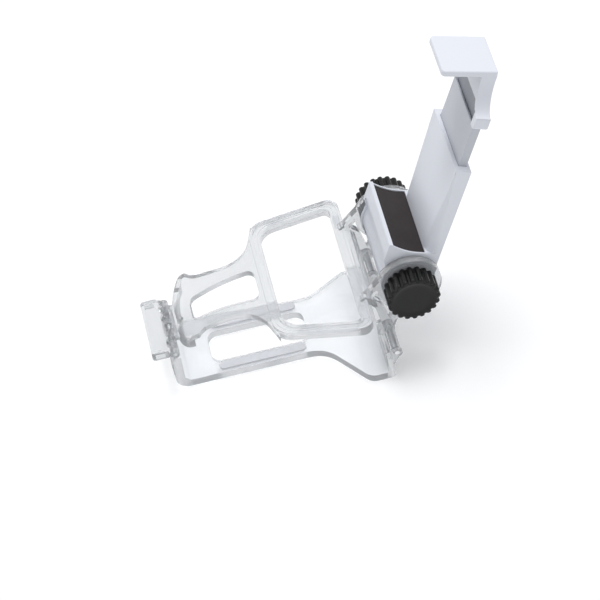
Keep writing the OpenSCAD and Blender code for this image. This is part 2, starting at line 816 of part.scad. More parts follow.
// Cover let into the arm's back, which closes the slot the tongue runs in
module back_cover() {
    d0 = pocket_d1 + seat_gap;
    color(grey)
        at_pivot()
            difference() {
                translate([-cover_half, d0, cover_z0])
                    cube([2 * cover_half, arm_back - d0, cover_z1 - cover_z0]);
                for (s = [-1, 1], z = cover_screw_z)
                    translate([s * cover_screw_x, arm_back, z])
                        rotate([90, 0, 0]) {
                            translate([0, 0, -past])
                                cylinder(h = head_t + past, r = head_r + seat_gap);
                            cylinder(h = arm_t, r = screw_r + seat_gap);
                        }
            }
}

// Pan-head screw along Y, with its head's inner face at the origin
module screw(length) {
    difference() {
        rotate([-90, 0, 0]) {
            translate([0, 0, -length])
                cylinder(h = length + 0.1, r = screw_r);
            cylinder(h = head_t - seat_gap, r = head_r);
        }
        translate([-0.2, head_t - 0.25, -head_r])
            cube([0.4, past, 2 * head_r]);
    }
}

module cover_screws() {
    color(steel)
        at_pivot()
            for (s = [-1, 1], z = cover_screw_z)
                translate([s * cover_screw_x, arm_back - head_t + seat_gap, z])
                    screw(3);
}

// Bowed leaf in the arm's left wall, which presses on the tongue's edge
module friction_spring() {
    leaf_t = 0.25;
    bow = leaf_room + slide_gap - leaf_t - 0.1;
    half_l = (leaf_z[1] - leaf_z[0]) / 2 - 0.5;
    leaf_r = (half_l * half_l + bow * bow) / (2 * bow);
    a = asin(half_l / leaf_r);
    c = [-tongue_half - 0.05 - leaf_r, (leaf_z[0] + leaf_z[1]) / 2];
    color(steel)
        at_pivot()
            translate([0, tongue_d1 - 0.3, 0])
                rotate([90, 0, 0])
                    linear_extrude(tongue_t - 0.6)
                        polygon(concat(arc(c, leaf_r, -a, a), arc(c - [leaf_t, 0], leaf_r, a, -a)));
}

module brass_insert(s) {
    color(brass)
        at_pivot()
            difference() {
                side_rod(s, insert_x1 - insert_l + seat_gap, insert_x1, insert_r);
                side_rod(s, 0, half_w + past, stud_r + run_gap);
            }
}

// Ring let into the jaw's side, which rubs on the ear and holds the arm's tilt
module friction_ring(s) {
    color(soft)
        at_pivot()
            difference() {
                side_rod(s, half_w - ring_in + seat_gap, ear_x - run_gap, ring_r1);
                side_rod(s, 0, ear_x + past, ring_r0);
            }
}

// Flat tube that slides in the arm, and that the dark slide runs in
module tongue() {
    color(grey)
        at_pivot()
            difference() {
                translate([-tongue_half, tongue_d0, tongue_top - tongue_l])
                    cube([2 * tongue_half, tongue_t, tongue_l]);
                translate([-slide_half - slide_gap, slide_d0 - slide_gap,
                           tongue_top - tongue_l - past])
                    cube([2 * (slide_half + slide_gap), slide_t + 2 * slide_gap,
                          tongue_l + 2 * past]);
            }
}

// The slide as it was cut, grown by g: a wide blade with a narrower tang in the jaw
module slide_blank(g) {
    translate([-slide_half - g, slide_d0 - g, jaw_bottom - slide_l])
        cube([2 * (slide_half + g), slide_t + 2 * g, slide_z1 + g - jaw_bottom + slide_l]);
    translate([-tang_half - g, slide_d0 - g, jaw_bottom])
        cube([2 * (tang_half + g), slide_t + 2 * g, tang_z1 + g - jaw_bottom]);
}

module inner_slide() {
    color(dark)
        at_pivot()
            difference() {
                slide_blank(0);
                for (s = [-1, 1])
                    translate([s * jaw_screw_x, slide_d0 - past, jaw_screw_z])
                        rotate([-90, 0, 0])
                            cylinder(h = slide_t + 2 * past, r = screw_r + seat_gap);
            }
}

jaw_d0 = arm_front + 0.1;
notch_z1 = jaw_bottom + collar_h + 1;
jaw_steps = 12;

// Back of the jaw: a collar as wide as the arm that sweeps in to the plate's width, drawn
// in by the wall for the hollow in its inner face
module jaw_outline(wall) {
    z0 = jaw_bottom + collar_h;
    z1 = jaw_top - 3;
    sweep = [for (k = [0:jaw_steps]) let (a = 90 * k / jaw_steps)
        [half_w - wall - (half_w - jaw_half) * sin(a), z1 - (z1 - z0) * cos(a)]];
    tip = jaw_half - wall - 0.05;
    polygon(concat([[wall - half_w, jaw_bottom], [half_w - wall, jaw_bottom]], sweep,
                   [[tip, jaw_top - 1.2], [-tip, jaw_top - 1.2]],
                   [for (k = [jaw_steps:-1:0]) [-sweep[k][0], sweep[k][1]]]));
}

// The jaw's back with its hollow above the notch for the tongue
module jaw_back() {
    difference() {
        translate([0, arm_back, 0])
            rotate([90, 0, 0])
                linear_extrude(arm_back - jaw_d0)
                    jaw_outline(0);
        intersection() {
            translate([0, jaw_d0 + jaw_sunk, 0])
                rotate([90, 0, 0])
                    linear_extrude(jaw_sunk + past)
                        jaw_outline(jaw_rim);
            translate([-half_w, jaw_d0 - 2 * past, notch_z1])
                cube([2 * half_w, arm_back, jaw_h]);
        }
    }
}

// Carries a piece drawn flat to the underside of the jaw's drooping plate
module under_plate() {
    translate([0, arm_back, jaw_top])
        rotate([jaw_droop, 0, 0])
            translate([0, 0, -jaw_t])
                children();
}

module upper_jaw() {
    color(grey)
        at_pivot()
            difference() {
                union() {
                    jaw_back();
                    under_plate()
                        linear_extrude(jaw_t)
                            polygon(rounded(box(-jaw_half, jaw_half, -arm_back - jaw_reach, -0.2),
                                            [1.7, 1.7, 0.5, 0.5]));
                }
                translate([-pocket_half, 0, jaw_bottom - past])
                    cube([2 * pocket_half, pocket_d1, notch_z1 - jaw_bottom + past]);
                slide_blank(seat_gap);
                for (s = [-1, 1])
                    translate([s * jaw_screw_x, slide_d0 - 1, jaw_screw_z])
                        rotate([-90, 0, 0]) {
                            cylinder(h = arm_t, r = screw_r + seat_gap);
                            translate([0, 0, arm_back - head_t - slide_d0 + 1])
                                cylinder(h = head_t + past, r = head_r + seat_gap);
                        }
            }
}

// Rubber under the jaw's plate
module upper_pad() {
    color(dark)
        at_pivot()
            under_plate()
                translate([0, 0, -pad_t - seat_gap])
                    linear_extrude(pad_t)
                        polygon(rounded(box(1.6 - jaw_half, jaw_half - 1.6,
                                            1.6 - arm_back - jaw_reach, jaw_d0 - arm_back - 0.5),
                                        [1.2, 1.2, 0.5, 0.5]));
}

module jaw_screws() {
    color(steel)
        at_pivot()
            for (s = [-1, 1])
                translate([s * jaw_screw_x, arm_back + seat_gap - head_t, jaw_screw_z])
                    screw(arm_back - head_t - slide_d0 + 0.2);
}

// Knob with ridges round it, a shallow dish in its face and the stud's head moulded in
module knob(s) {
    color(dark)
        at_pivot()
            difference() {
                union() {
                    side_rod(s, knob_x0, knob_x1, knob_r - rib_h);
                    for (k = [0:knob_ridges - 1])
                        rotate([360 * (k + 0.5) / knob_ridges, 0, 0])
                            translate([s > 0 ? knob_x0 : rib_end - knob_x1, knob_r - 2, -rib_w / 2])
                                cube([knob_t - rib_end, 2, rib_w]);
                }
                side_rod(s, knob_x1 - 0.25, knob_x1 + past, knob_r - rib_h - 0.8);
                side_rod(s, knob_x0 - past, washer_x1 + seat_gap, washer_r + seat_gap);
                side_rod(s, knob_x0 - past, stud_head_x + 1, stud_r + seat_gap);
                translate([s > 0 ? stud_head_x - seat_gap
                                 : -stud_head_x - stud_head_t - seat_gap, 0, 0])
                    rotate([0, 90, 0])
                        cylinder(h = stud_head_t + 2 * seat_gap, r = stud_head_r + 2 * seat_gap,
                                 $fn = 6);
            }
}

module stud(s) {
    color(steel)
        at_pivot() {
            side_rod(s, stud_x0, stud_head_x + 0.1, stud_r);
            translate([s > 0 ? stud_head_x : -stud_head_x - stud_head_t, 0, 0])
                rotate([0, 90, 0])
                    cylinder(h = stud_head_t, r = stud_head_r, $fn = 6);
        }
}

module washer(s) {
    color(steel)
        at_pivot()
            difference() {
                side_rod(s, ear_out + run_gap, washer_x1, washer_r);
                side_rod(s, ear_out, washer_x1 + past, stud_r + seat_gap);
            }
}

front_frame();
frame_pads();
rear_plate();
rear_pads();
hinge_pin(left_x0, left_x1);  // hinge_pin_left
hinge_pin(right_x0, right_x1);  // hinge_pin_right
latch_tab();
latch_pin();
latch_spring();
clamp_body();
lower_pad();
back_cover();
cover_screws();
friction_spring();
brass_insert(-1);  // insert_left
brass_insert(1);  // insert_right
friction_ring(-1);  // friction_ring_left
friction_ring(1);  // friction_ring_right
tongue();
inner_slide();
upper_jaw();
upper_pad();
jaw_screws();
knob(-1);  // knob_left
stud(-1);  // stud_left
washer(-1);  // washer_left
knob(1);  // knob_right
stud(1);  // stud_right
washer(1);  // washer_right
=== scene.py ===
import json
import math

import bpy
import numpy as np
from mathutils import Matrix, Vector
from mathutils.geometry import tessellate_polygon


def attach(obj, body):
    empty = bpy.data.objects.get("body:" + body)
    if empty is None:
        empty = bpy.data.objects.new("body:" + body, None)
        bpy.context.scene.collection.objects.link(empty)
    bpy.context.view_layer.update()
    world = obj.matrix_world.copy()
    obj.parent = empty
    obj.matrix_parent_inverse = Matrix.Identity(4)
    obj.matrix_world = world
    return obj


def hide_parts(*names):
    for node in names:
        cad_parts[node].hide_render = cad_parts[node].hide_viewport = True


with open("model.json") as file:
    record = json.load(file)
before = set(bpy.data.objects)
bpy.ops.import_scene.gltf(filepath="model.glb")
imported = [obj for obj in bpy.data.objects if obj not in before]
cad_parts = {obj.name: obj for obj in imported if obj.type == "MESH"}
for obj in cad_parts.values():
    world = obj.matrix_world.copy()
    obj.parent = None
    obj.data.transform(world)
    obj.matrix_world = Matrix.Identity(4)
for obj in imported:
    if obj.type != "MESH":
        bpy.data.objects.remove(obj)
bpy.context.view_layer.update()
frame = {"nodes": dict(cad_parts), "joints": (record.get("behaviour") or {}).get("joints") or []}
nodes = frame["nodes"]
joints = {joint["name"]: joint for joint in frame["joints"]}

# Places from the frame's joints, in metres, and the arm's lean from the way its jaw slides
PIVOT = np.array(joints["arm_tilt"]["pos_m"])
LATCH = np.array(joints["latch_release"]["pos_m"])
SLIDE_WAY = joints["jaw_slide"]["axis"]
LEAN = math.atan2(SLIDE_WAY[1], SLIDE_WAY[2])

# Sizes of the CAD's solids, in millimetres and radians
MM = 0.001
SEAT_GAP = 0.02
HALF_W = 17.9
ARM_FRONT = 3.3
ARM_BACK = 9.3
JAW_BOTTOM = 74.0
JAW_TOP = 95.2
JAW_HALF = 10.4
JAW_D0 = 3.4
JAW_REACH = 12.1
JAW_T = 2.6
JAW_DROOP = math.radians(4.5)
COLLAR_H = 5.0
NOTCH_HALF = 14.64
NOTCH_TOP = JAW_BOTTOM + COLLAR_H + 1.0
HOLLOW_DEPTH = 2.0
HOLLOW_RIM = 1.0
JAW_SCREW_X = 5.5
JAW_SCREW_Z = JAW_BOTTOM + 2 * COLLAR_H
BED_TOP = 12.9
BED_RISE = 2.7
BED_REACH = 10.4
BED_RIM = 0.6
PAD_TUCK = 0.3
PAD_T = 1.0
KNOB_X0 = 21.55
KNOB_T = 8.0
KNOB_R = 10.2
KNOB_RIDGES = 20
WASHER_R = 5.6
WASHER_X1 = 22.06
STUD_R = 2.5
STUD_HEAD_X0 = 24.06
POCKET_X1 = 26.8
POCKET_R = 4.34
RING_R0 = 6.0
RING_R1 = 9.0
WINDOW_NEAR = 26.6
WINDOW_FAR = 31.8
WINDOW_Y0 = 18.2
WINDOW_Y1 = 47.0
BAND_W = 4.0
SLOPE_Y = 14.2
FRAME_SLOPE = math.radians(3)
STEM_HALF = 14.5
HOLE_HALF = 8.0
HOLE_Y0 = -10.0
HOLE_Y1 = 28.0
FRAME_UNDER = -1.7
REAR_Z = -27.6
CUSHION_T = 0.8

# Corner radii of the jaw's outlines at its foot, the notch's mouth and the notch's top
FOOT_R = 0.9
MOUTH_R = 0.55
NOTCH_R = 0.7


def turn_x(points, angle):
    """Turns an array of points about the X axis by the right-hand rule."""
    c, s = math.cos(angle), math.sin(angle)
    x, y, z = points[..., 0], points[..., 1], points[..., 2]
    return np.stack([x, c * y - s * z, s * y + c * z], axis=-1)


def at_pivot(points):
    """Carries points drawn in millimetres about the tilt axis, with the arm along Z, to their
    place in metres."""
    return turn_x(points * MM, -LEAN) + PIVOT


def under_plate(points):
    """Carries points drawn in millimetres, with the jaw's plate level and its underside at
    Z 0, to the drooping plate."""
    drooped = turn_x(points - np.array([0, 0, JAW_T]), JAW_DROOP)
    return at_pivot(drooped + np.array([0, ARM_BACK, JAW_TOP]))


def smoothstep(t):
    """Cubic ramp from 0 to 1, level at both ends."""
    t = np.clip(t, 0, 1)
    return t * t * (3 - 2 * t)


def side_name(side):
    """Word for a side: right where X is positive."""
    return "right" if side > 0 else "left"


# Materials

def linear(red, green, blue):
    """Linear colour of a screen colour given in steps of 255."""
    return tuple(((v / 255 + 0.055) / 1.055) ** 2.4 if v > 10 else v / 255 / 12.92
                 for v in (red, green, blue))


def node_of(tree, kind):
    """First node of a kind in a node tree."""
    return next(n for n in tree.nodes if n.type == kind)


def socket(tree, name, kind, value=None, out=False):
    """Adds a named input or output to a node group."""
    made = tree.interface.new_socket(name=name, in_out="OUTPUT" if out else "INPUT",
                                     socket_type="NodeSocket" + kind)
    if value is not None:
        made.default_value = value


def moulded_grain():
    """Group for moulded surfaces: soft mottling, cloudy roughness and a fine spark grain."""
    tree = bpy.data.node_groups.new("moulded grain", "ShaderNodeTree")
    socket(tree, "Colour", "Color", (0.5, 0.5, 0.5, 1))
    socket(tree, "Shade", "Color", (0.4, 0.4, 0.4, 1))
    socket(tree, "Mottle", "Float", 0.1)
    socket(tree, "Cloud scale", "Float", 60.0)
    socket(tree, "Grain scale", "Float", 3000.0)
    socket(tree, "Rough low", "Float", 0.35)
    socket(tree, "Rough high", "Float", 0.5)
    socket(tree, "Colour", "Color", out=True)
    socket(tree, "Roughness", "Float", out=True)
    socket(tree, "Height", "Float", out=True)
    new, link = tree.nodes.new, tree.links.new
    given, gives = new("NodeGroupInput"), new("NodeGroupOutput")
    place = new("ShaderNodeTexCoord")
    cloud, grain = new("ShaderNodeTexNoise"), new("ShaderNodeTexNoise")
    cloud.inputs["Detail"].default_value = 4
    grain.inputs["Detail"].default_value = 2
    link(place.outputs["Object"], cloud.inputs["Vector"])
    link(place.outputs["Object"], grain.inputs["Vector"])
    link(given.outputs["Cloud scale"], cloud.inputs["Scale"])
    link(given.outputs["Grain scale"], grain.inputs["Scale"])
    amount = new("ShaderNodeMath")
    amount.operation = "MULTIPLY"
    link(cloud.outputs["Fac"], amount.inputs[0])
    link(given.outputs["Mottle"], amount.inputs[1])
    mix = new("ShaderNodeMix")
    mix.data_type = "RGBA"
    link(amount.outputs[0], mix.inputs["Factor"])
    link(given.outputs["Colour"], mix.inputs[6])
    link(given.outputs["Shade"], mix.inputs[7])
    link(mix.outputs[2], gives.inputs["Colour"])
    spread = new("ShaderNodeMapRange")
    link(cloud.outputs["Fac"], spread.inputs["Value"])
    spread.inputs["From Min"].default_value = 0.3
    spread.inputs["From Max"].default_value = 0.7
    link(given.outputs["Rough low"], spread.inputs["To Min"])
    link(given.outputs["Rough high"], spread.inputs["To Max"])
    link(spread.outputs["Result"], gives.inputs["Roughness"])
    link(grain.outputs["Fac"], gives.inputs["Height"])
    return tree


GRAIN = moulded_grain()


def new_material(name):
    """Node material with a Principled shader and an output."""
    material = bpy.data.materials.new(name)
    material.use_nodes = True
    tree = material.node_tree
    return material, tree, node_of(tree, "BSDF_PRINCIPLED")


def grained(name, colour, shade, mottle, cloud, grain, rough, bump,
            depth=0.00005, metal=0.0, gloss=0.5, clearness=0.0):
    """Moulded or cast finish: the grain group feeds colour, roughness and a bump."""
    material, tree, shader = new_material(name)
    group = tree.nodes.new("ShaderNodeGroup")
    group.node_tree = GRAIN
    group.inputs["Colour"].default_value = (*colour, 1)
    group.inputs["Shade"].default_value = (*shade, 1)
    group.inputs["Mottle"].default_value = mottle
    group.inputs["Cloud scale"].default_value = cloud
    group.inputs["Grain scale"].default_value = grain
    group.inputs["Rough low"].default_value = rough[0]
    group.inputs["Rough high"].default_value = rough[1]
    tree.links.new(group.outputs["Colour"], shader.inputs["Base Color"])
    tree.links.new(group.outputs["Roughness"], shader.inputs["Roughness"])
    relief = tree.nodes.new("ShaderNodeBump")
    relief.inputs["Strength"].default_value = bump
    relief.inputs["Distance"].default_value = depth
    tree.links.new(group.outputs["Height"], relief.inputs["Height"])
    tree.links.new(relief.outputs["Normal"], shader.inputs["Normal"])
    shader.inputs["Metallic"].default_value = metal
    shader.inputs["Specular IOR Level"].default_value = gloss
    shader.inputs["Transmission Weight"].default_value = clearness
    return material


def see_through(name, colour, rim, rough, clearness, shadow):
    """Clear or milky plastic with a painted edge shade: its colour turns towards the grey rim
    colour where it is seen edge on.
    It lets most of the lamps' light through to what is under it."""
    material = grained(name, colour, colour, mottle=0.0, cloud=25.0, grain=90.0, rough=rough,
                       bump=0.08, depth=0.0002, clearness=clearness)
    tree = material.node_tree
    shader = node_of(tree, "BSDF_PRINCIPLED")
    shader.inputs["IOR"].default_value = 1.49
    # Painted edge shade: the base colour is mixed towards the grey rim colour as the surface is
    # seen more nearly edge on
    edge = tree.nodes.new("ShaderNodeLayerWeight")
    edge.inputs["Blend"].default_value = 0.35
    painted_edge_shade = tree.nodes.new("ShaderNodeMix")
    painted_edge_shade.data_type = "RGBA"
    painted_edge_shade.inputs[7].default_value = (*rim, 1)
    tree.links.new(edge.outputs["Facing"], painted_edge_shade.inputs["Factor"])
    tree.links.new(node_of(tree, "GROUP").outputs["Colour"], painted_edge_shade.inputs[6])
    tree.links.new(painted_edge_shade.outputs[2], shader.inputs["Base Color"])
    clear = tree.nodes.new("ShaderNodeBsdfTransparent")
    clear.inputs["Color"].default_value = (*shadow, 1)
    path = tree.nodes.new("ShaderNodeLightPath")
    mix = tree.nodes.new("ShaderNodeMixShader")
    tree.links.new(path.outputs["Is Shadow Ray"], mix.inputs["Fac"])
    tree.links.new(shader.outputs["BSDF"], mix.inputs[1])
    tree.links.new(clear.outputs["BSDF"], mix.inputs[2])
    tree.links.new(mix.outputs["Shader"], node_of(tree, "OUTPUT_MATERIAL").inputs["Surface"])
    return material


def matt_plastic(name, colour, shade, mottle=0.35, cloud=40.0):
    """Fine matt moulded plastic, from two screen colours."""
    return grained(name, linear(*colour), linear(*shade), mottle, cloud, grain=2600.0,
                   rough=(0.4, 0.5), bump=0.12, gloss=0.35)


def turned_metal(name, colour, shade, rough, metal=1.0):
    """Turned or drawn metal, from two screen colours."""
    return grained(name, linear(*colour), linear(*shade), mottle=0.5, cloud=300.0,
                   grain=5000.0, rough=rough, bump=0.1, metal=metal)


clear_plastic = see_through("clear plastic", (0.86, 0.87, 0.885), (0.42, 0.44, 0.46),
                            rough=(0.05, 0.12), clearness=0.8, shadow=(0.88, 0.885, 0.89))
soft_clear = see_through("soft clear", (0.80, 0.81, 0.84), (0.5, 0.51, 0.53),
                         rough=(0.35, 0.5), clearness=0.45, shadow=(0.7, 0.7, 0.72))
grey_plastic = matt_plastic("grey plastic", (224, 227, 234), (215, 218, 226))
# Painted shade: the tongue is the jaw's grey plastic, written darker to stand in for the plate's
# shadow on it
painted_shade_tongue_plastic = matt_plastic("tongue plastic with painted shade", (196, 199, 206), (187, 190, 197))
# Painted shade: the slide's grey plastic is written mid-grey to stand in for the shade in the
# notch between tongue and jaw
painted_shade_slide_plastic = matt_plastic("slide plastic with painted shade", (146, 149, 157), (132, 135, 142), 0.3, 50.0)
knob_plastic = grained("knob plastic", linear(10, 10, 10), linear(7, 7, 7), mottle=0.5,
                       cloud=90.0, grain=2200.0, rough=(0.16, 0.26), bump=0.25, gloss=0.28)
dark_rubber = grained("dark rubber", linear(54, 49, 50), linear(46, 42, 43), mottle=0.5,
                      cloud=80.0, grain=1800.0, rough=(0.62, 0.8), bump=0.5, gloss=0.25)
steel = turned_metal("steel", (205, 207, 210), (170, 172, 176), (0.22, 0.38))
pin_steel = turned_metal("pin steel", (240, 241, 243), (222, 223, 226), (0.35, 0.5), 0.6)
brass = turned_metal("brass", (214, 180, 105), (176, 142, 78), (0.25, 0.4))

FINISH = (
    (clear_plastic, ("front_frame", "rear_plate", "latch_tab")),
    (soft_clear, ("frame_pads", "rear_pads", "friction_ring_left", "friction_ring_right")),
    (grey_plastic, ("clamp_body", "back_cover", "upper_jaw")),
    (painted_shade_tongue_plastic, ("tongue",)),
    (painted_shade_slide_plastic, ("inner_slide",)),
    (knob_plastic, ("knob_left", "knob_right")),
    (dark_rubber, ("lower_pad", "upper_pad")),
    (steel, ("latch_pin", "latch_spring", "cover_screws", "friction_spring", "jaw_screws",
             "stud_left", "stud_right", "washer_left", "washer_right")),
    (pin_steel, ("hinge_pin_left", "hinge_pin_right")),
    (brass, ("insert_left", "insert_right")))

for finish, node_names in FINISH:
    for node_name in node_names:
        slots = nodes[node_name].data.materials
        for k in range(len(slots)):
            slots[k] = finish


# Edges of the moulded CAD nodes, with each node's radius in millimetres

EDGES = {"front_frame": 0.25, "rear_plate": 0.3, "latch_tab": 0.15, "clamp_body": 0.3,
         "back_cover": 0.15, "tongue": 0.25}


def even_out(piece):
    """Keeps the flat faces of a piece flat beside its rounded edges."""
    even = piece.modifiers.new("even", "WEIGHTED_NORMAL")
    even.mode = "FACE_AREA"
    even.keep_sharp = False


def soften(piece, radius):
    """Welds a CAD node's loose triangles and rounds its edges."""
    weld = piece.modifiers.new("weld", "WELD")
    weld.merge_threshold = 0.001 * MM
    bevel = piece.modifiers.new("edges", "BEVEL")
    bevel.width = radius * MM
    bevel.segments = 3
    bevel.limit_method = "ANGLE"
    bevel.angle_limit = math.radians(32)
    bevel.use_clamp_overlap = True
    even_out(piece)
    piece.data.polygons.foreach_set("use_smooth", np.ones(len(piece.data.polygons), bool))


for node_name, edge_radius in EDGES.items():
    soften(nodes[node_name], edge_radius)


# Meshes

def grid_quads(rows, cols):
    """Quads between neighbouring points of a stack of closed rings."""
    r, c = np.meshgrid(np.arange(rows - 1), np.arange(cols), indexing="ij")
    n = (c + 1) % cols
    return np.stack([r * cols + c, r * cols + n, (r + 1) * cols + n, (r + 1) * cols + c],
                    axis=-1).reshape(-1, 4)


def as_faces(quads):
    """Array of quads as a list of faces."""
    return [tuple(q) for q in quads.tolist()]


def turned_over(faces):
    """Faces with their other side out."""
    return [face[::-1] for face in faces]


def rings_to_faces(rows, cols):
    """Quads of a stack of closed rings, with one polygon over each end ring."""
    first = tuple(range(cols - 1, -1, -1))
    last = tuple(range((rows - 1) * cols, rows * cols))
    return as_faces(grid_quads(rows, cols)) + [first, last]


def merge(parts):
    """Puts several pairs of points and faces into one pair."""
    points, faces, start = [], [], 0
    for part_points, part_faces in parts:
        points.append(part_points)
        faces += [tuple(k + start for k in face) for face in part_faces]
        start += len(part_points)
    return np.concatenate(points), faces


def piece_from(name, points, faces, body, material, node):
    """Makes a smooth mesh of points in metres and of faces, gives it its material, lets it ride
    on a body and hides the CAD node that it stands for."""
    mesh = bpy.data.meshes.new(name)
    mesh.from_pydata(points.reshape(-1, 3).tolist(), [], faces)
    mesh.validate()
    mesh.polygons.foreach_set("use_smooth", np.ones(len(mesh.polygons), bool))
    mesh.materials.append(material)
    mesh.update()
    piece = bpy.data.objects.new(name, mesh)
    bpy.context.scene.collection.objects.link(piece)
    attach(piece, body)
    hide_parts(node)
    return piece


# Knobs

def knob_profile(ridge_h):
    """Half section of a knob as places along X, radii and shares of the ridges' height. It
    runs round the pocket of the stud's head, the stud's bore and the washer's recess, then
    over the rounded back edge, along the side, over the rounded front edge and into the dish
    of the face. Both ends stop at a small ring round the axis."""
    core, edge, x1 = KNOB_R - ridge_h, 0.5, KNOB_X0 + KNOB_T
    back_share, front_share = 0.35, 0.75
    pocket_pole, flat_r = 0.4, 7.6
    dish_r, dish_run, dish_depth, dish_pole = 8.3, 0.9, 0.25, 0.6
    bore_r = STUD_R + SEAT_GAP
    recess_r, recess_x = WASHER_R + SEAT_GAP, WASHER_X1 + SEAT_GAP
    pocket_x0 = STUD_HEAD_X0 - SEAT_GAP
    inside = [(POCKET_X1, pocket_pole), (POCKET_X1, POCKET_R), (pocket_x0, POCKET_R),
              (pocket_x0, bore_r), (recess_x, bore_r), (recess_x, recess_r),
              (KNOB_X0, recess_r), (KNOB_X0, flat_r)]
    profile = [(x, r, 0.0) for x, r in inside]
    for a in np.linspace(0, np.pi / 2, 5):
        s, c = math.sin(a), math.cos(a)
        profile.append((KNOB_X0 + edge * (1 - c), core - edge * (1 - s),
                        back_share + (1 - back_share) * s))
    for t in np.linspace(0.05, 0.95, 8):
        profile.append((KNOB_X0 + edge + (KNOB_T - 2 * edge) * t, core, 1.0))
    for a in np.linspace(0, np.pi / 2, 6):
        s, c = math.sin(a), math.cos(a)
        profile.append((x1 - edge * (1 - s), core - edge * (1 - c), 1 - (1 - front_share) * s))
    for r in (dish_r, 7.9, 7.4, 6.0, 4.0, 2.0, dish_pole):
        profile.append((x1 - dish_depth * smoothstep((dish_r - r) / dish_run), r, 0.0))
    return (np.array(v) for v in zip(*profile))


def knob(side):
    """Knob turned about the tilt axis. The radius gains ridges of half-elliptic section along
    the side: with w from 0 between two ridges to 1 on a ridge's top, their height goes with
    the root of one minus the square of (1 - w) over the ridges' share of the pitch."""
    ridge_h, share, points_a_ridge = 1.05, 0.68, 20
    x, r, on_side = knob_profile(ridge_h)
    theta = np.linspace(0, 2 * np.pi, KNOB_RIDGES * points_a_ridge, endpoint=False)
    wave = np.abs(((theta * KNOB_RIDGES / (2 * np.pi)) % 1) - 0.5) * 2
    ridge = np.sqrt(np.clip(1 - ((1 - wave) / share) ** 2, 0, 1))
    radius = r[:, None] + ridge_h * on_side[:, None] * ridge[None, :]
    points = np.stack([np.broadcast_to(side * x[:, None], radius.shape),
                       radius * np.cos(theta), radius * np.sin(theta)], axis=-1)
    faces = rings_to_faces(*radius.shape)
    name = side_name(side)
    piece_from("ribbed_knob_" + name, at_pivot(points), turned_over(faces) if side < 0 else faces,
               name + "_knob", knob_plastic, "knob_" + name)


# Outlines and slabs

def rectangle(x0, x1, y0, y1):
    """Corners of a rectangle, anticlockwise from its lowest."""
    return [(x0, y0), (x1, y0), (x1, y1), (x0, y1)]


def round_corners(corners, radii, steps=5):
    """Closed outline whose corners are arcs that touch both of their edges."""
    outline = []
    corners = np.array(corners, float)
    for k, (corner, radius) in enumerate(zip(corners, radii)):
        if radius == 0:
            outline.append(corner[None])
            continue
        to_last = corners[k - 1] - corner
        to_next = corners[(k + 1) % len(corners)] - corner
        to_last /= np.linalg.norm(to_last)
        to_next /= np.linalg.norm(to_next)
        half = math.acos(float(to_last @ to_next)) / 2
        middle = (to_last + to_next) / np.linalg.norm(to_last + to_next)
        centre = corner + middle * radius / math.sin(half)
        start = corner + to_last * radius / math.tan(half) - centre
        end = corner + to_next * radius / math.tan(half) - centre
        first = math.atan2(start[1], start[0])
        turn = (math.atan2(end[1], end[0]) - first + math.pi) % (2 * math.pi) - math.pi
        a = first + turn * np.linspace(0, 1, steps + 1)
        outline.append(centre + radius * np.stack([np.cos(a), np.sin(a)], axis=-1))
    return np.concatenate(outline)


def inward(outline):
    """Unit vectors into a closed outline that runs anticlockwise."""
    along = np.roll(outline, -1, axis=0) - np.roll(outline, 1, axis=0)
    along /= np.maximum(np.linalg.norm(along, axis=1, keepdims=True), 1e-12)
    return np.stack([-along[:, 1], along[:, 0]], axis=-1)


def circle(x, y, radius, z, count=24):
    """Points of a level circle at height z."""
    a = np.linspace(0, 2 * np.pi, count, endpoint=False)
    return np.stack([x + radius * np.cos(a), y + radius * np.sin(a), np.full(count, z)], axis=-1)


def slab(outline, z0, z1, r0, r1, holes=(), depth=0.5):
    """Slab over an outline from z0 to z1. Near each end the outline is drawn in by the radius
    times one minus the cosine of a quarter turn, so that the edge is round. Holes are circles,
    given by centre and radius, sunk from the top by depth."""
    a = np.linspace(np.pi / 2, 0, 5)
    z = np.concatenate([z0 + r0 * (1 - np.sin(a)), (z1 - r1 * (1 - np.sin(a)))[::-1]])
    draw = np.concatenate([r0 * (1 - np.cos(a)), (r1 * (1 - np.cos(a)))[::-1]])
    rings = outline[None] + inward(outline)[None] * draw[:, None, None]
    rings = np.concatenate([rings, np.broadcast_to(z[:, None, None], (*rings.shape[:2], 1))],
                           axis=-1)
    rows, count = rings.shape[:2]
    faces = rings_to_faces(rows, count)
    if not holes:
        return rings.reshape(-1, 3), faces
    faces.pop()
    points = [rings.reshape(-1, 3)]
    loops = [rings[-1]]
    index = [np.arange(count) + (rows - 1) * count]
    start = rows * count
    for x, y, radius in holes:
        rim = circle(x, y, radius, z1)
        n = len(rim)
        points += [rim, rim - np.array([0, 0, depth])]
        loops.append(rim[::-1])
        index.append(np.arange(n)[::-1] + start)
        faces += as_faces(grid_quads(2, n)[:, ::-1] + start)
        faces.append(tuple(range(start + n, start + 2 * n)))
        start += 2 * n
    index = np.concatenate(index)
    cap = tessellate_polygon([[Vector(p) for p in loop] for loop in loops])
    faces += [tuple(int(index[k]) for k in triangle) for triangle in cap]
    return np.concatenate(points), faces


def standing(made):
    """Slab with its outline's height along Z and its own height along Y."""
    points, faces = made
    return np.stack([-points[:, 0], points[:, 2], points[:, 1]], axis=-1), faces


def across(made):
    """Slab with its outline in the plane of Y and Z and its own height along X."""
    points, faces = made
    return np.stack([points[:, 2], points[:, 0], points[:, 1]], axis=-1), faces


# Upper jaw

def jaw_sides(wall):
    """Right side of the jaw's back from the collar to the plate: a quarter ellipse, drawn in
    by the wall, that sweeps in from the collar's width to the plate's."""
    a = np.linspace(0, np.pi / 2, 28)
    z0, z1 = JAW_BOTTOM + COLLAR_H, JAW_TOP - 3.0
    return np.stack([HALF_W - wall - (HALF_W - JAW_HALF) * np.sin(a),
                     z1 - (z1 - z0) * np.cos(a)], axis=-1)


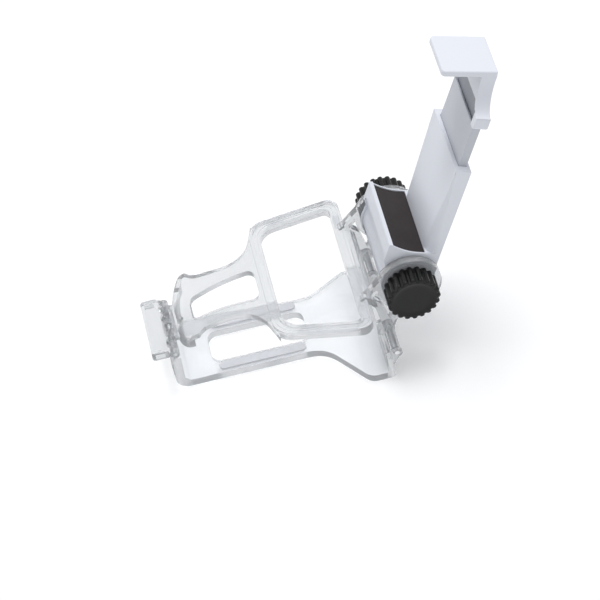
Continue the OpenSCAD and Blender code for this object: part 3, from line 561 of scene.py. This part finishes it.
def jaw_line(foot, foot_radii, side, tip_x, tip_z):
    """Closed outline from a foot, a right side, a top of two round corners and the left side."""
    tip_r = 1.0
    left = side[::-1] * np.array([-1, 1])
    corners = foot + side.tolist() + [(tip_x, tip_z), (-tip_x, tip_z)] + left.tolist()
    plain = [0] * len(side)
    return round_corners(corners, foot_radii + plain + [tip_r, tip_r] + plain)


def jaw_rim(side, tip_x, tip_z):
    """Right half of the rim round the hollow, from the notch to the plate and back."""
    inner = jaw_sides(HOLLOW_RIM)
    inner = inner[inner[:, 1] > NOTCH_TOP + 0.2]
    inside = [(NOTCH_HALF, NOTCH_TOP), (inner[0, 0], NOTCH_TOP)] + inner.tolist()
    inside.append((tip_x - HOLLOW_RIM, tip_z))
    corners = [(NOTCH_HALF, JAW_BOTTOM), (HALF_W, JAW_BOTTOM)] + side.tolist()
    corners += [(tip_x, tip_z)] + inside[::-1]
    return round_corners(corners, [MOUTH_R, FOOT_R] + [0] * (len(corners) - 2))


def jaw_shell():
    """Upper jaw of five slabs: the rim round the hollow in its inner face in two halves, the
    notched collar and back, the wall behind the notch with its two screw holes, and the
    drooping plate. The slabs overlap only within their rounded ends."""
    side, tip_x, tip_z = jaw_sides(0), JAW_HALF - 0.03, JAW_TOP - 1.3
    hollow_d1, notch_d1, wall_d0 = JAW_D0 + HOLLOW_DEPTH, 8.8, 8.52
    near_r, joint_r, step_r, far_r = 0.22, 0.05, 0.14, 0.6
    screw_head_r, screw_sunk = 1.12, 0.48
    foot = [(-HALF_W, JAW_BOTTOM), (HALF_W, JAW_BOTTOM)]
    notch = [(-NOTCH_HALF, JAW_BOTTOM), (-NOTCH_HALF, NOTCH_TOP), (NOTCH_HALF, NOTCH_TOP),
             (NOTCH_HALF, JAW_BOTTOM)]
    whole = jaw_line(foot, [FOOT_R, FOOT_R], side, tip_x, tip_z)
    notched = jaw_line(foot[:1] + notch + foot[1:],
                       [FOOT_R, MOUTH_R, NOTCH_R, NOTCH_R, MOUTH_R, FOOT_R], side, tip_x, tip_z)
    holes = [(x, JAW_SCREW_Z, screw_head_r) for x in (-JAW_SCREW_X, JAW_SCREW_X)]
    rim = slab(jaw_rim(side, tip_x, tip_z), JAW_D0, hollow_d1 + 0.1, near_r, joint_r)
    mirrored = rim[0] * np.array([-1, 1, 1]), turned_over(rim[1])
    back = slab(notched, hollow_d1, notch_d1, joint_r, step_r)
    wall = slab(whole, wall_d0, ARM_BACK, step_r, far_r, holes, screw_sunk)
    box = rectangle(-JAW_HALF, JAW_HALF, -ARM_BACK - JAW_REACH, -0.2)
    plate = slab(round_corners(box, [1.7, 1.7, 0.9, 0.9], 10), 0, JAW_T, 0.6, 0.7)
    stood = merge([standing(part) for part in (rim, mirrored, back, wall)])
    points, faces = merge([(at_pivot(stood[0]), stood[1]), (under_plate(plate[0]), plate[1])])
    even_out(piece_from("jaw_shell", points, faces, "jaw", grey_plastic,
                        "upper_jaw"))


# Rubber and soft pads

def lower_rubber():
    """Rubber trough of the lower jaw. Both faces are flat next to the arm and then rise to
    the lip as the 1.8th power of the way, and it runs from rim to rim."""
    t = np.linspace(0, 1, 24)
    run = 0.75 * (ARM_FRONT + BED_REACH)
    curve = np.stack([run * (1 - t) - BED_REACH + SEAT_GAP, BED_RISE * t ** 1.8], axis=-1)
    low, high = BED_TOP - PAD_T + SEAT_GAP, BED_TOP - SEAT_GAP
    under, over = curve + np.array([0, low]), curve + np.array([0, high])
    back = ARM_FRONT + PAD_TUCK - SEAT_GAP
    corners = under[::-1].tolist() + [(back, low), (back, high)] + over.tolist()
    plain = [0] * (len(t) - 1)
    radii = [0.1] + plain + [0.2, 0.2] + plain + [0.3]
    half = HALF_W - BED_RIM - SEAT_GAP
    points, faces = across(slab(round_corners(corners, radii), -half, half, 0.15, 0.15))
    even_out(piece_from("rubber_trough", at_pivot(points), faces, "arm", dark_rubber,
                        "lower_pad"))


def upper_rubber():
    """Rubber under the plate: a thin slab with half-round ribs across it."""
    margin, base_t, rib_z, rib_half, rib_h = 1.6, 0.8, -0.7, 0.4, 0.32
    rib_x, rib_y, ribs = 0.5, 0.9, 10
    half, near, far = JAW_HALF - margin, margin - ARM_BACK - JAW_REACH, JAW_D0 - ARM_BACK - 0.5
    base = round_corners(rectangle(-half, half, near, far), [1.2, 1.2, 0.5, 0.5])
    parts = [slab(base, -base_t, -SEAT_GAP, 0.25, 0.0)]
    a = np.linspace(0, np.pi, 9)
    rib = np.stack([rib_half * np.cos(a), rib_z - rib_h * np.sin(a)], axis=-1)[::-1]
    for y in np.linspace(near + rib_y, far - rib_y, ribs):
        parts.append(across(slab(rib + np.array([y, 0]), rib_x - half, half - rib_x, 0.15, 0.15)))
    points, faces = merge(parts)
    even_out(piece_from("ribbed_rubber", under_plate(points), faces, "jaw", dark_rubber,
                        "upper_pad"))


def rounded_box(half_x, half_y, radius):
    """Outline of a rectangle about the origin with four equal round corners."""
    return round_corners(rectangle(-half_x, half_x, -half_y, half_y), [radius] * 4, 6)


def frame_cushions():
    """Four soft pads under the frame, on its slope: one on each side and two at its far bar."""
    half_l, half_w, share = 3.5, 0.3 * BAND_W, 0.27
    side_x = WINDOW_NEAR + share * (WINDOW_FAR - WINDOW_NEAR) + BAND_W / 2
    side_y = WINDOW_Y0 + share * (WINDOW_Y1 - WINDOW_Y0)
    far_x, far_y = 0.79 * WINDOW_FAR, WINDOW_Y1 + BAND_W / 2
    parts = []
    for side in (-1, 1):
        for x, y, degrees, half_x, half_y in ((side * side_x, side_y, -side * 10, half_w, half_l),
                                              (side * far_x, far_y, 0, half_l, half_w)):
            points, faces = slab(rounded_box(half_x, half_y, 0.9), FRAME_UNDER - CUSHION_T,
                                 FRAME_UNDER - SEAT_GAP, 0.3, 0.0)
            c, s = math.cos(math.radians(degrees)), math.sin(math.radians(degrees))
            points = np.stack([c * points[:, 0] - s * points[:, 1] + x,
                               s * points[:, 0] + c * points[:, 1] + y - SLOPE_Y,
                               points[:, 2]], axis=-1)
            parts.append((turn_x(points, -FRAME_SLOPE) + np.array([0, SLOPE_Y, 0]), faces))
    points, faces = merge(parts)
    even_out(piece_from("frame_cushions", points * MM, faces, "frame", soft_clear,
                        "frame_pads"))


def rear_strips():
    """Two soft strips on the rear plate, one on each side of its window."""
    half_x, half_y = (STEM_HALF - HOLE_HALF) / 2 - 1.25, (HOLE_Y1 - HOLE_Y0) / 2 - 2
    x, y = (STEM_HALF + HOLE_HALF) / 2, (HOLE_Y0 + HOLE_Y1) / 2
    points, faces = slab(rounded_box(half_x, half_y, 1.5), REAR_Z + SEAT_GAP,
                         REAR_Z + CUSHION_T, 0.0, 0.35)
    points, faces = merge([(points + np.array([side * x, y, 0]), faces) for side in (-1, 1)])
    even_out(piece_from("rear_strips", points * MM, faces, "rear", soft_clear,
                        "rear_pads"))


def friction_ring(side):
    """Ring between a side of the jaw and its ear, turned about the tilt axis, with a rounded
    outer face."""
    x0, x1, edge_x, edge_r = HALF_W - 0.88, HALF_W + 0.44, 0.14, 0.2
    profile = np.array([(x0, RING_R0), (x1 - edge_x, RING_R0), (x1, RING_R0 + edge_r),
                        (x1, RING_R1 - edge_r), (x1 - edge_x, RING_R1), (x0, RING_R1),
                        (x0, RING_R0)])
    theta = np.linspace(0, 2 * np.pi, 96, endpoint=False)
    x = np.broadcast_to(side * profile[:, :1], (len(profile), len(theta)))
    points = np.stack([x, profile[:, 1:] * np.cos(theta), profile[:, 1:] * np.sin(theta)],
                      axis=-1)
    faces = as_faces(grid_quads(len(profile), len(theta)))
    name = side_name(side)
    piece_from("tilt_ring_" + name, at_pivot(points), turned_over(faces) if side < 0 else faces,
               "arm", soft_clear, "friction_ring_" + name)


def spring_coils():
    """Coils of the latch's spring: a wire of round section carried along a helix about the
    latch pin."""
    turns, wire, reach, half_l = 4.5, 0.22, 1.16, 1.1
    a = np.linspace(0, 2 * np.pi * turns, 200)
    x = np.linspace(-half_l, half_l, len(a))
    helix = np.stack([x, reach * np.cos(a), reach * np.sin(a)], axis=-1)
    ahead = np.gradient(helix, axis=0)
    ahead /= np.linalg.norm(ahead, axis=1, keepdims=True)
    out = np.stack([np.zeros_like(a), np.cos(a), np.sin(a)], axis=-1)
    side = np.cross(ahead, out)
    v = np.linspace(0, 2 * np.pi, 10, endpoint=False)[None, :, None]
    points = helix[:, None] + wire * (np.cos(v) * out[:, None] + np.sin(v) * side[:, None])
    faces = turned_over(rings_to_faces(*points.shape[:2]))
    piece_from("spring_coils", points * MM + LATCH, faces, "rear", steel,
               "latch_spring")


for knob_side in (-1, 1):
    knob(knob_side)
jaw_shell()
lower_rubber()
upper_rubber()
frame_cushions()
rear_strips()
for ring_side in (-1, 1):
    friction_ring(ring_side)
spring_coils()


# Studio

# The part's middle, which the lamps face, and the floor's height, in metres
MIDDLE = (0, 0.05, 0.03)
FLOOR_Z = -0.031


def lamp(name, place, size, power):
    """Square soft box at place, which faces the part's middle."""
    light = bpy.data.lights.new(name, "AREA")
    light.shape = "SQUARE"
    light.size = size
    light.energy = power
    box = bpy.data.objects.new(name, light)
    box.location = place
    box.rotation_mode = "QUATERNION"
    box.rotation_quaternion = (Vector(MIDDLE) - Vector(place)).to_track_quat("-Z", "Y")
    bpy.context.scene.collection.objects.link(box)


def studio_floor():
    """Plain pale floor that keeps the object's shadow."""
    half = 6.0
    mesh = bpy.data.meshes.new("floor")
    corners = [(x, y, FLOOR_Z) for x, y in rectangle(-half, half, -half, half)]
    mesh.from_pydata(corners, [], [(0, 1, 2, 3)])
    floor = bpy.data.objects.new("floor", mesh)
    bpy.context.scene.collection.objects.link(floor)
    material, _, shader = new_material("floor")
    shader.inputs["Base Color"].default_value = (0.9, 0.9, 0.9, 1)
    shader.inputs["Roughness"].default_value = 0.9
    shader.inputs["Specular IOR Level"].default_value = 0.0
    shader.inputs["Emission Color"].default_value = (1, 1, 1, 1)
    shader.inputs["Emission Strength"].default_value = 0.15
    mesh.materials.append(material)


def background(tree, colour, strength):
    """Background of one colour in the world's node tree."""
    made = tree.nodes.new("ShaderNodeBackground")
    made.inputs["Color"].default_value = (*colour, 1)
    made.inputs["Strength"].default_value = strength
    return made.outputs["Background"]


def larger(tree, one, other):
    """Larger of two values in the world's node tree."""
    made = tree.nodes.new("ShaderNodeMath")
    made.operation = "MAXIMUM"
    tree.links.new(one, made.inputs[0])
    tree.links.new(other, made.inputs[1])
    return made.outputs[0]


def studio_world():
    """White to the camera, to gloss and through clear plastic, soft grey to everything else."""
    world = bpy.data.worlds.new("studio")
    bpy.context.scene.world = world
    world.use_nodes = True
    tree = world.node_tree
    tree.nodes.clear()
    path = tree.nodes.new("ShaderNodeLightPath").outputs
    seen = larger(tree, path["Is Camera Ray"], path["Is Glossy Ray"])
    seen = larger(tree, seen, path["Is Transmission Ray"])
    mix = tree.nodes.new("ShaderNodeMixShader")
    out = tree.nodes.new("ShaderNodeOutputWorld")
    tree.links.new(seen, mix.inputs["Fac"])
    tree.links.new(background(tree, (0.97, 0.98, 1.0), 0.63), mix.inputs[1])
    tree.links.new(background(tree, (1, 1, 1), 1.0), mix.inputs[2])
    tree.links.new(mix.outputs["Shader"], out.inputs["Surface"])


studio_floor()
studio_world()
lamp("key", (-0.17, 0.2, 0.87), 0.35, 3.6)
lamp("fill", (-0.3, -0.7, 0.5), 0.6, 0.5)

# Camera at the photograph's place: its three axes, its position in metres and its focal
# length in millimetres
CAMERA_RIGHT = (0.1964, 0.9720, -0.1290)
CAMERA_UP = (-0.6881, 0.2303, 0.6881)
CAMERA_BACK = (0.6986, -0.0464, 0.7140)
CAMERA_AT = (0.8069, -0.0258, 0.8110)
FOCAL_LENGTH = 180.9

lens = bpy.data.cameras.new("camera")
lens.lens = FOCAL_LENGTH
lens.sensor_width = 36
lens.clip_start = 0.01
lens.clip_end = 20
camera = bpy.data.objects.new("camera", lens)
camera.matrix_world = Matrix((*zip(CAMERA_RIGHT, CAMERA_UP, CAMERA_BACK, CAMERA_AT),
                              (0, 0, 0, 1)))
bpy.context.scene.collection.objects.link(camera)
bpy.context.scene.camera = camera
bpy.context.scene.view_settings.view_transform = "Standard"

bpy.context.view_layer.update()
